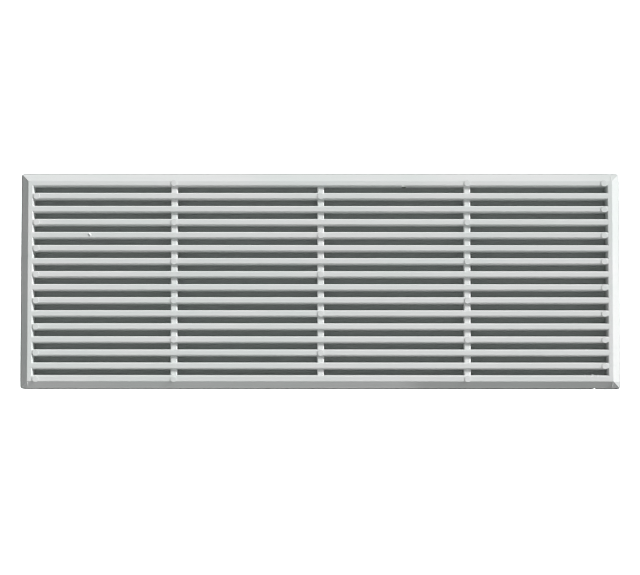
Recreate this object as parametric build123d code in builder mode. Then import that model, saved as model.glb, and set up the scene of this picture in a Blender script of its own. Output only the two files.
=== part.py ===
from build123d import *
import os
from math import atan2, cos, degrees, sin, tan

# A long rectangular ventilation grille, moulded in one piece: a bevelled flange,
# a flat border, sixteen rows (fourteen free bars between a top and a bottom rail),
# three upright ribs, round raised pads on the bars, and a collar behind the flange
# that goes into the opening in the wall or the cabinet.
#
# X runs along the bars, Y is up when the grille is on a wall, +Z is out of its front.
# It lies on the rear edge of its collar, with the origin at the middle of that plane.

# ---------------------------------------------------------------- driving dimensions, mm
overall_length = 390.8     # X, outside the flange
overall_height = 140.8     # Y, outside the flange
total_depth = 13.0         # Z, rear edge of the collar to the front face

flange_thickness = 5.8     # Z, rear edge of the flange to the front face
bevel_width = 5.2          # outer bevel and rim together, seen from the front
bevel_drop = 3.5           # how far the bevel falls back
rim_lean = 0.8             # the rim below the bevel is steep, and leans this much
rim_height = 2.1
corner_radius = 2.4        # outer corners of the flange
worn_corner_radius = 2.8   # the lower left corner, rubbed rounder than the others
crest_radius = 1.0         # where the bevel meets the flat border
brim_radius = 0.35         # where the bevel meets the rim
wall = 1.8                 # wall thickness behind the flange

border = 3.2               # border at each end, bevel to end wall, edges unrounded
row_count = 16             # rows, counting the top and the bottom rail
row_pitch = 8.5            # between the rows' centre lines

bar_depth = 9.0            # front face to rear face
bar_front = 4.05           # bar height at its front face, edges unrounded
bar_rear = 5.1             # bar height at its rear face
bar_top_radius = 0.80       # front edge of a bar's upper side
bar_lower_radius = 1.15    # front edge of its lower side
sill_rise = 0.3            # the bottom rail stands this much taller than the top rail

rib_pitch = 95.45          # between the ribs' centre lines
rib_offset = 0.25          # the middle rib stands this far right of the middle
rib_set_back = 2.45        # rib face behind the bar faces
rib_front = 4.3            # rib width at its face, edges unrounded
rib_rear = 4.7             # rib width at its rear face
rib_edge_radius = 0.80

pad_diameter = 4.0         # round pads left by the mould's pins
pad_height = 0.42          # above the bar faces
pad_end_x = 184.75         # centre line of the pads at the ends
pad_edge = 0.08            # broken edge of the pads
pad_depth = 4.0            # how far the pads run down beside the bars

collar_inset = 5.8         # flange overhang around the collar
collar_taper = 1.6         # degrees
collar_lead_in = 0.4       # chamfer at the collar's rear edge
rear_lip = 1.8             # thickness of the collar's rear edge

# ---------------------------------------------------------------- derived
front_z = total_depth
seat_z = front_z - flange_thickness            # rear edge of the flange
bevel_z = front_z - bevel_drop                 # where the bevel meets the rim
brim_z = bevel_z - rim_height                  # foot of the rim
bevel_slope = atan2(bevel_drop, bevel_width - rim_lean)
bars_rear_z = front_z - bar_depth
plateau_x = overall_length / 2 - bevel_width
plateau_y = overall_height / 2 - bevel_width
end_taper = (bar_rear - bar_front) / 2         # the end walls lean in like the bars
opening_x = plateau_x - border
row_y = [row_pitch * ((row_count - 1) / 2 - row) for row in range(row_count)]
opening_y = row_y[0] - bar_front / 2
rear_opening_y = row_y[0] - bar_rear / 2
sill_y = sill_rise - opening_y                 # upper edge of the bottom rail
collar_x = overall_length / 2 - collar_inset
collar_y = overall_height / 2 - collar_inset
rib_x = [rib_offset - rib_pitch, rib_offset, rib_offset + rib_pitch]

# Pads, as (X, row), rows counted down from the top rail.
last_row = row_count - 1
pads = (
    [(-pad_end_x, row) for row in range(1, row_count, 2)]
    + [(pad_end_x, row) for row in range(0, row_count, 2)]
    + [(rib_x[0], row) for row in range(0, row_count, 3)]
    + [(rib_x[2], row) for row in range(0, row_count, 3)]
    + [(rib_x[1], row) for row in range(1, row_count - 2, 3)]
)
bar_pads = [(x, row_y[row]) for x, row in pads if 0 < row < last_row]
rail_pads = [(x, row_y[row]) for x, row in pads if row in (0, last_row)]

# Small faults of the moulding and of handling.
splinter_x, splinter_y, splinter_row = -150.0, 0.25, 4   # raised sliver on one bar
splinter_length, splinter_height, splinter_width = 2.0, 0.65, 2.7
splinter_angle = -51.0                         # from +X, on the bar's face
flash_width = 0.35                             # thin burrs left along an edge
top_flash = [(53.8, 1.5, 0.45)]                # X, length, how far it stands out
bottom_flash = [(171.6, 1.7, 0.60), (176.6, 2.8, 0.75), (179.9, 1.5, 0.45)]
bar_flash_row, bar_flash = 13, (172.6, 1.5, 0.50)
edge_chip_x, edge_chip_radius, edge_chip_depth = 178.4, 1.2, 0.75

# Faint ridges down the upper and the lower bevel, beside three of the corners, as
# (X, Y at the end by the flat border, length, half width, height).
witness_ridges = [
    (-190.0, -65.9, 3.4, 0.30, 0.30),
    (189.75, -65.8, 3.6, 0.30, 0.28),
    (189.6, 65.5, 4.3, 0.30, 0.16),
]

# The space inside the opening. It narrows towards the rear, and it flares at the
# front, so that the edges of the border and of both rails come out rounded.
flare = 1.2
with BuildPart() as opening:
    with BuildSketch(Plane.XZ.offset(-overall_height / 2)):
        Polygon(
            (-(opening_x - end_taper), bars_rear_z),
            (opening_x - end_taper, bars_rear_z),
            (opening_x, front_z),
            (opening_x + flare, front_z),
            (opening_x + flare, front_z + 1),
            (-(opening_x + flare), front_z + 1),
            (-(opening_x + flare), front_z),
            (-opening_x, front_z),
            align=None,
        )
        fillet(
            vertices().filter_by(lambda v: abs(abs(v.X) - opening_x) < 0.01),
            bar_top_radius,
        )
    extrude(amount=overall_height)
    with BuildSketch(Plane.YZ.offset(-overall_length / 2)):
        Polygon(
            (sill_rise - rear_opening_y, bars_rear_z),
            (rear_opening_y, bars_rear_z),
            (opening_y, front_z),
            (opening_y + flare, front_z),
            (opening_y + flare, front_z + 1),
            (sill_y - flare, front_z + 1),
            (sill_y - flare, front_z),
            (sill_y, front_z),
            align=None,
        )
        fillet(
            vertices().filter_by(lambda v: abs(v.X - opening_y) < 0.01),
            bar_lower_radius,
        )
        fillet(
            vertices().filter_by(lambda v: abs(v.X - sill_y) < 0.01),
            bar_top_radius,
        )
    extrude(amount=overall_length, mode=Mode.INTERSECT)

with BuildPart() as grille_body:
    # ---- flange: a thin edge, a steep rim and a bevel all round
    with BuildSketch(Plane.XY.offset(seat_z)):
        Rectangle(overall_length, overall_height)
    extrude(amount=brim_z - seat_z)
    with BuildSketch(Plane.XY.offset(brim_z)):
        Rectangle(overall_length, overall_height)
    extrude(amount=rim_height, taper=degrees(atan2(rim_lean, rim_height)))
    with BuildSketch(Plane.XY.offset(bevel_z)):
        Rectangle(overall_length - 2 * rim_lean, overall_height - 2 * rim_lean)
    extrude(amount=bevel_drop, taper=90 - degrees(bevel_slope))
    # a soft edge between the bevel and the rim
    brim = grille_body.edges().filter_by(
        lambda edge: abs(edge.center().Z - bevel_z) < 0.01 and edge.length > overall_height / 2
    )
    fillet(brim, brim_radius)
    # outer corners rounded on plan
    with BuildSketch(Plane.XY.offset(seat_z)):
        Rectangle(overall_length, overall_height)
        worn = vertices().sort_by(Axis.X)[:2].sort_by(Axis.Y)[0]
        fillet([v for v in vertices() if v != worn], corner_radius)
        worn = vertices().filter_by(
            lambda v: v.X < 0 and v.Y < 0 and abs(v.X) == overall_length / 2
        )
        fillet(worn, worn_corner_radius)
    extrude(amount=flange_thickness, mode=Mode.INTERSECT)
    # and a soft edge round the flat border
    fillet(grille_body.edges().group_by(Axis.Z)[-1], crest_radius)

    # ---- hollow behind the bevel, so that the flange is a thin shell
    with BuildSketch(Plane.XY.offset(seat_z)):
        Rectangle(overall_length - 2 * wall + 0.2, overall_height - 2 * wall + 0.2)
    extrude(
        amount=flange_thickness - wall,
        taper=degrees(atan2(collar_inset - wall + 0.1, flange_thickness - wall)),
        mode=Mode.SUBTRACT,
    )

    # ---- collar
    with BuildSketch(Plane.XY):
        Rectangle(2 * collar_x - 0.6, 2 * collar_y - 0.6)
    extrude(amount=front_z - wall + 0.4, taper=-collar_taper)
    chamfer(grille_body.edges().group_by(Axis.Z)[0], collar_lead_in)

    # ---- opening between the end walls and the rails
    add(opening.part, mode=Mode.SUBTRACT)

    # ---- shallow recess behind the bars, inside the collar's rear edge
    with BuildSketch(Plane.XY):
        Rectangle(2 * (collar_x - 0.3 - rear_lip), 2 * (collar_y - 0.3 - rear_lip))
    extrude(amount=bars_rear_z, taper=4.0, mode=Mode.SUBTRACT)

    # ---- free bars, from end wall to end wall
    with BuildSketch(Plane.YZ.offset(-(opening_x + 0.9))):
        with Locations(*[(y, 0) for y in row_y[1:-1]]):
            Polygon(
                (-bar_rear / 2, bars_rear_z),
                (bar_rear / 2, bars_rear_z),
                (bar_front / 2, front_z),
                (-bar_front / 2, front_z),
                align=None,
            )
        front_corners = vertices().group_by(Axis.Y)[-1].sort_by(Axis.X)
        upper_corners, lower_corners = front_corners[1::2], front_corners[0::2]
        fillet(upper_corners, bar_top_radius)
        fillet(
            vertices().filter_by(
                lambda v: any(abs(v.X - c.X) + abs(v.Y - c.Y) < 0.01 for c in lower_corners)
            ),
            bar_lower_radius,
        )
    extrude(amount=2 * (opening_x + 0.9))

    # ---- upright ribs, set back behind the bar faces
    with BuildSketch(Plane.XZ.offset(-(opening_y + 0.9))):
        with Locations(*[(x, 0) for x in rib_x]):
            Polygon(
                (-rib_rear / 2, bars_rear_z),
                (rib_rear / 2, bars_rear_z),
                (rib_front / 2, front_z - rib_set_back),
                (-rib_front / 2, front_z - rib_set_back),
                align=None,
            )
        fillet(vertices().group_by(Axis.Y)[-1], rib_edge_radius)
    extrude(amount=2 * (opening_y + 0.9))

    # ---- round pads, standing a little above the bars and the rails
    with BuildSketch(Plane.XY.offset(front_z - pad_depth)):
        with Locations(*bar_pads):
            Circle(pad_diameter / 2)
    extrude(amount=pad_depth + pad_height)
    with BuildSketch(Plane.XY.offset(front_z - 1)):
        with Locations(*rail_pads):
            Circle(pad_diameter / 2)
    extrude(amount=1 + pad_height)
    chamfer(grille_body.edges().group_by(Axis.Z)[-1], pad_edge)

    # ---- a raised sliver across one bar
    with BuildSketch(
        Plane(
            origin=(splinter_x, row_y[splinter_row] + splinter_y, front_z),
            x_dir=Vector(0, 1, 0).rotate(Axis.Z, splinter_angle),
            z_dir=Vector(1, 0, 0).rotate(Axis.Z, splinter_angle),
        )
    ):
        Polygon(
            (-splinter_width / 2, -0.3),
            (splinter_width / 2, -0.3),
            (0, splinter_height),
            align=None,
        )
    extrude(amount=splinter_length / 2, both=True)

    # ---- burrs along the edges of the two rails, and on the upper edge of one bar
    for rail_side, edge_y, burrs in (
        (1, opening_y, top_flash),
        (-1, sill_y, bottom_flash),
        (-1, row_y[bar_flash_row] + bar_front / 2, [bar_flash]),
    ):
        for burr_x, burr_length, burr_reach in burrs:
            with BuildSketch(Plane.XY.offset(front_z - 0.20 - flash_width)):
                Polygon(
                    (burr_x - burr_length / 2, edge_y + rail_side * 0.7),
                    (burr_x + burr_length / 2, edge_y + rail_side * 0.7),
                    (burr_x + burr_length / 5, edge_y - rail_side * burr_reach),
                    (burr_x - burr_length / 6, edge_y - rail_side * burr_reach * 0.8),
                    align=None,
                )
            extrude(amount=flash_width)

    # ---- faint ridges that the mould left on the bevels, near three corners
    for ridge_x, ridge_y, ridge_length, half_width, ridge_height in witness_ridges:
        side = 1 if ridge_y > 0 else -1
        with BuildSketch(
            Plane(
                origin=(
                    ridge_x,
                    ridge_y,
                    front_z - (abs(ridge_y) - plateau_y) * tan(bevel_slope),
                ),
                x_dir=(-side, 0, 0),
                z_dir=(0, side * cos(bevel_slope), -sin(bevel_slope)),
            )
        ):
            Polygon(
                (-1.5 * half_width, -0.5 * ridge_height),
                (1.5 * half_width, -0.5 * ridge_height),
                (0, ridge_height),
                align=None,
            )
        extrude(amount=ridge_length)

    # ---- a shallow chip in the lower outer edge
    with BuildSketch(Plane.XY.offset(seat_z - 0.5)):
        with Locations(
            (
                edge_chip_x,
                -overall_height / 2 - edge_chip_radius + edge_chip_depth,
            )
        ):
            Circle(edge_chip_radius)
    extrude(amount=flange_thickness, mode=Mode.SUBTRACT)

grille_body.part.label = "grille_body"

os.makedirs("parts", exist_ok=True)
export_step(grille_body.part, "parts/grille_body.step")
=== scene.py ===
import math
import bpy
from mathutils import Matrix, Vector

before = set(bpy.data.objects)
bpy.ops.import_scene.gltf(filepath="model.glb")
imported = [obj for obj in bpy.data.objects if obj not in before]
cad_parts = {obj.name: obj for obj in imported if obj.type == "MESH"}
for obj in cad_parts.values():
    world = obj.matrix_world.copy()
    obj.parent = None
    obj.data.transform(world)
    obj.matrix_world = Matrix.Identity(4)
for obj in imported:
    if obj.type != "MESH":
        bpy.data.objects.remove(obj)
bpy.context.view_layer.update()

scene = bpy.context.scene
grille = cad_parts["grille_body"]

# ---------------------------------------------------------------- the grille's own measures, metres
FRONT_Z = 0.0130           # front faces of the bars and of the flat border
PLATEAU_Y = 0.0652         # where the flat border meets the lower bevel

# ---------------------------------------------------------------- camera: nearly square on, from far away
VIEW_WIDTH = 0.41589       # metres across the picture at the front face
DISTANCE = 1.20
FOOT = (0.0, -0.060)       # the camera stands over this point of the front face
AIM = (-0.00015, -0.00436) # the front face's point in the middle of the picture
ROLL = 0.00045             # radians, a hair off level

cam_data = bpy.data.cameras.new("camera")
cam = bpy.data.objects.new("camera", cam_data)
scene.collection.objects.link(cam)
cam.location = (FOOT[0], FOOT[1], FRONT_Z + DISTANCE)
look = Vector((AIM[0], AIM[1], FRONT_Z)) - cam.location
back = -look.normalized()
level = Vector((0, 1, 0)).cross(back).normalized()
right = (level + ROLL * back.cross(level)).normalized()
cam.rotation_mode = "QUATERNION"
cam.rotation_quaternion = Matrix((right, back.cross(right), back)).transposed().to_quaternion()
cam_data.sensor_fit = "HORIZONTAL"
cam_data.sensor_width = 36.0
cam_data.lens = 36.0 * look.length / VIEW_WIDTH
cam_data.clip_start, cam_data.clip_end = 0.05, 50.0
scene.camera = cam


# ---------------------------------------------------------------- node helpers
class Tree:
    """Adds nodes to a material's tree and wires them up."""

    def __init__(self, material):
        material.use_nodes = True
        self.tree = material.node_tree
        self.tree.nodes.clear()

    def add(self, kind, **sockets):
        node = self.tree.nodes.new(kind)
        for name, value in sockets.items():
            if hasattr(node, name):
                setattr(node, name, value)
            else:
                self.set(node, name.replace("_", " "), value)
        return node

    def set(self, node, name, value):
        socket = node.inputs[name]
        if isinstance(value, bpy.types.NodeSocket):
            self.tree.links.new(value, socket)
        else:
            socket.default_value = value

    def maths(self, operation, a, b=None, c=None, clamp=False):
        node = self.tree.nodes.new("ShaderNodeMath")
        node.operation = operation
        node.use_clamp = clamp
        for index, value in enumerate((a, b, c)):
            if value is None:
                continue
            if isinstance(value, bpy.types.NodeSocket):
                self.tree.links.new(value, node.inputs[index])
            else:
                node.inputs[index].default_value = value
        return node.outputs[0]

    def ramp(self, value, low, high, out_low=0.0, out_high=1.0, smooth=True):
        node = self.tree.nodes.new("ShaderNodeMapRange")
        node.interpolation_type = "SMOOTHSTEP" if smooth else "LINEAR"
        for name, v in (
            ("Value", value), ("From Min", low), ("From Max", high),
            ("To Min", out_low), ("To Max", out_high),
        ):
            self.set(node, name, v)
        return node.outputs[0]

    def noise(self, vector, scale, detail=3.0, rough=0.5, size=(1, 1, 1), distortion=0.0):
        place = self.tree.nodes.new("ShaderNodeMapping")
        self.tree.links.new(vector, place.inputs["Vector"])
        place.inputs["Scale"].default_value = size
        node = self.tree.nodes.new("ShaderNodeTexNoise")
        self.tree.links.new(place.outputs[0], node.inputs["Vector"])
        node.inputs["Scale"].default_value = scale
        node.inputs["Detail"].default_value = detail
        node.inputs["Roughness"].default_value = rough
        node.inputs["Distortion"].default_value = distortion
        return node.outputs["Fac"]

    def mix(self, factor, a, b, blend="MIX"):
        node = self.tree.nodes.new("ShaderNodeMix")
        node.data_type = "RGBA"
        node.blend_type = blend
        node.clamp_factor = True
        for socket, value in ((node.inputs[0], factor), (node.inputs[6], a), (node.inputs[7], b)):
            if isinstance(value, bpy.types.NodeSocket):
                self.tree.links.new(value, socket)
            else:
                socket.default_value = value
        return node.outputs[2]


# ---------------------------------------------------------------- moulded white plastic
def white_plastic():
    material = bpy.data.materials.new("moulded_white_plastic")
    t = Tree(material)
    place = t.add("ShaderNodeTexCoord").outputs["Object"]
    xyz = t.add("ShaderNodeSeparateXYZ", Vector=place)
    x, y, z = xyz.outputs[0], xyz.outputs[1], xyz.outputs[2]
    ax, ay = t.maths("ABSOLUTE", x), t.maths("ABSOLUTE", y)

    # colour: a cool white with broad cloudy drifts and a fine speckle
    drift = t.noise(place, 14.0, 3.0, 0.55, (1, 3, 3))
    streak = t.noise(place, 60.0, 4.0, 0.6, (0.35, 6, 6))
    speckle = t.noise(place, 2600.0, 2.0, 0.6)
    colour = t.mix(t.ramp(drift, 0.35, 0.65), (0.760, 0.795, 0.782, 1), (0.805, 0.815, 0.812, 1))
    colour = t.mix(t.ramp(streak, 0.45, 0.75, 0.0, 0.35), colour, (0.725, 0.745, 0.738, 1))
    colour = t.mix(t.ramp(speckle, 0.60, 0.80, 0.0, 0.20), colour, (0.66, 0.67, 0.66, 1))

    # painted shade: the colour is darkened deep down between the bars, towards the back, where shade falls
    low = t.ramp(z, 0.0104, 0.0050, 0.0, 0.65)
    low = t.maths("MULTIPLY", low, t.ramp(t.maths("ABSOLUTE", x, 0.0), 0.1885, 0.1880))
    low = t.maths("MULTIPLY", low, t.ramp(t.maths("ABSOLUTE", y, 0.0), 0.0632, 0.0628))
    colour = t.mix(low, colour, (0.46, 0.49, 0.48, 1))

    # painted shade: the right part of the lower bevel is painted darker
    painted_bevel_shade = t.maths("MULTIPLY", t.ramp(x, 0.048, 0.072, 0.0, 0.42), t.ramp(y, -PLATEAU_Y - 0.0001, -PLATEAU_Y - 0.0006))
    painted_bevel_shade = t.maths("MULTIPLY", painted_bevel_shade, t.ramp(drift, 0.30, 0.60, 0.85, 1.10))
    colour = t.mix(painted_bevel_shade, colour, (0.44, 0.46, 0.45, 1))

    # a small dark spot painted on the underside of the top rail
    spot = t.maths("POWER", t.maths("DIVIDE", t.maths("SUBTRACT", x, 0.0546), 0.0016), 2.0)
    spot = t.maths("ADD", spot, t.maths("POWER", t.maths("DIVIDE", t.maths("SUBTRACT", z, 0.0070), 0.0030), 2.0))
    spot = t.maths("ADD", spot, t.maths("MULTIPLY", t.noise(place, 900.0, 2.0, 0.6), 0.8))
    spot = t.maths("MULTIPLY", t.ramp(spot, 1.5, 0.9), t.ramp(y, 0.0608, 0.0612))
    spot = t.maths("MULTIPLY", spot, t.ramp(y, 0.0632, 0.0628))
    colour = t.mix(t.maths("MULTIPLY", spot, 0.8), colour, (0.10, 0.11, 0.10, 1))

    # gloss: satin, uneven
    gloss = t.noise(place, 420.0, 4.0, 0.6)
    rough = t.ramp(gloss, 0.3, 0.7, 0.40, 0.52)

    # relief: the mould's fine texture
    grain = t.noise(place, 3200.0, 3.0, 0.6)
    ripple = t.noise(place, 90.0, 2.0, 0.5, (0.5, 2, 2))
    relief = t.maths("ADD", t.maths("MULTIPLY", grain, 0.000012), t.maths("MULTIPLY", ripple, 0.00006))
    bump = t.add("ShaderNodeBump", Height=relief)
    bump.inputs["Strength"].default_value = 1.0
    bump.inputs["Distance"].default_value = 1.0

    shader = t.add("ShaderNodeBsdfPrincipled")
    t.set(shader, "Base Color", colour)
    t.set(shader, "Roughness", rough)
    t.set(shader, "Normal", bump.outputs[0])
    shader.inputs["IOR"].default_value = 1.48
    shader.inputs["Subsurface Weight"].default_value = 0.0
    out = t.add("ShaderNodeOutputMaterial")
    t.tree.links.new(shader.outputs[0], out.inputs["Surface"])
    return material


grille.data.materials.clear()
grille.data.materials.append(white_plastic())


# ---------------------------------------------------------------- floor
def pale_floor():
    material = bpy.data.materials.new("pale_floor")
    t = Tree(material)
    place = t.add("ShaderNodeTexCoord").outputs["Object"]
    fine = t.noise(place, 900.0, 3.0, 0.6)
    colour = t.mix(t.ramp(fine, 0.3, 0.7), (0.520, 0.560, 0.546, 1), (0.540, 0.580, 0.566, 1))
    shader = t.add("ShaderNodeBsdfPrincipled")
    t.set(shader, "Base Color", colour)
    shader.inputs["Roughness"].default_value = 0.8
    shader.inputs["Specular IOR Level"].default_value = 0.2
    out = t.add("ShaderNodeOutputMaterial")
    t.tree.links.new(shader.outputs[0], out.inputs["Surface"])
    return material


size = 6.0
mesh = bpy.data.meshes.new("floor")
mesh.from_pydata(
    [(-size, -size, -2e-5), (size, -size, -2e-5), (size, size, -2e-5), (-size, size, -2e-5)],
    [], [(0, 1, 2, 3)],
)
floor = bpy.data.objects.new("floor", mesh)
scene.collection.objects.link(floor)
floor.data.materials.append(pale_floor())
floor.visible_diffuse = False      # the grille isn't lit from below by the bright floor
floor.visible_glossy = False       # nor does it mirror it


# ---------------------------------------------------------------- light
def sun(name, towards, strength, angle):
    data = bpy.data.lights.new(name, "SUN")
    data.energy = strength
    data.angle = math.radians(angle)
    lamp = bpy.data.objects.new(name, data)
    scene.collection.objects.link(lamp)
    lamp.rotation_mode = "QUATERNION"
    lamp.rotation_quaternion = Vector(towards).to_track_quat("Z", "Y")
    lamp.location = Vector(towards).normalized() * 2.0
    return lamp


def only_on(lamp, thing):
    """Keeps a lamp's light on one thing."""
    group = bpy.data.collections.new(lamp.name + "_on_" + thing.name)
    group.objects.link(thing)
    lamp.light_linking.receiver_collection = group


key = sun("key", (0.772, 0.445, 0.454), 3.22, 4.0)
only_on(key, grille)
overhead = sun("overhead", (0.0, 0.0, 1.0), 0.34, 50.0)
only_on(overhead, grille)
# four wide, low lamps round the room keep the floor evenly white, with a faint soft shadow
for side, strength in ((-1, 4.8), (1, 4.4)):
    for end in (-1, 1):
        lamp = sun(f"floor_{'left' if side < 0 else 'right'}_{'near' if end < 0 else 'far'}",
                   (0.38 * side, 0.54 * end, 0.75), strength, 18.0)
        only_on(lamp, floor)

# light that comes back up off the floor, kept weak: it reaches the collar and the rim from all four sides
for name, towards, strength in (
    ("bounce_left", (-0.94, 0.0, -0.34), 0.16),
    ("bounce_right", (0.94, 0.0, -0.34), 0.16),
    ("bounce_near", (0.0, -0.94, -0.34), 0.30),
    ("bounce_far", (0.0, 0.94, -0.34), 0.12),
):
    bounce = sun(name, towards, strength, 30.0)
    only_on(bounce, grille)
    blockers = bpy.data.collections.new(name + "_blockers")
    blockers.objects.link(grille)
    bounce.light_linking.blocker_collection = blockers

# and a faint one from straight above shows the floor through the slots
slots = sun("slots", (0.0, 0.0, 1.0), 0.15, 12.0)
only_on(slots, floor)

world = bpy.data.worlds.new("soft_room")
scene.world = world
world.use_nodes = True
sky = world.node_tree
background = sky.nodes["Background"]
# a soft even room above, darker below the floor's level
where = sky.nodes.new("ShaderNodeTexCoord")
parts = sky.nodes.new("ShaderNodeSeparateXYZ")
rise = sky.nodes.new("ShaderNodeMapRange")
rise.inputs["From Min"].default_value, rise.inputs["From Max"].default_value = -0.05, 0.05
room = sky.nodes.new("ShaderNodeMix")
room.data_type = "RGBA"
room.inputs[6].default_value = (0.02, 0.0215, 0.021, 1)
room.inputs[7].default_value = (0.262, 0.266, 0.264, 1)
sky.links.new(where.outputs["Generated"], parts.inputs[0])
sky.links.new(parts.outputs["Z"], rise.inputs["Value"])
sky.links.new(rise.outputs[0], room.inputs[0])
# past the floor's edge the picture is as pale as the floor
seen = sky.nodes.new("ShaderNodeLightPath")
pale = sky.nodes.new("ShaderNodeMix")
pale.data_type = "RGBA"
pale.inputs[7].default_value = (1.0, 1.0, 1.0, 1)
sky.links.new(seen.outputs["Is Camera Ray"], pale.inputs[0])
sky.links.new(room.outputs[2], pale.inputs[6])
sky.links.new(pale.outputs[2], background.inputs["Color"])
background.inputs["Strength"].default_value = 1.0

# the picture is sharpened a little, as a camera does
scene.use_nodes = True
post = scene.node_tree
post.nodes.clear()
layers = post.nodes.new("CompositorNodeRLayers")
to_eye = post.nodes.new("CompositorNodeGamma")
to_eye.inputs["Gamma"].default_value = 1 / 2.2
sharpen = post.nodes.new("CompositorNodeFilter")
sharpen.filter_type = "SHARPEN_DIAMOND"
sharpen.inputs["Fac"].default_value = 0.10
to_light = post.nodes.new("CompositorNodeGamma")
to_light.inputs["Gamma"].default_value = 2.2
picture = post.nodes.new("CompositorNodeComposite")
post.links.new(layers.outputs["Image"], to_eye.inputs["Image"])
post.links.new(to_eye.outputs["Image"], sharpen.inputs["Image"])
post.links.new(sharpen.outputs["Image"], to_light.inputs["Image"])
post.links.new(to_light.outputs["Image"], picture.inputs["Image"])

scene.view_settings.view_transform = "Standard"
scene.view_settings.look = "None"
scene.view_settings.exposure = 0.0
scene.view_settings.gamma = 1.0
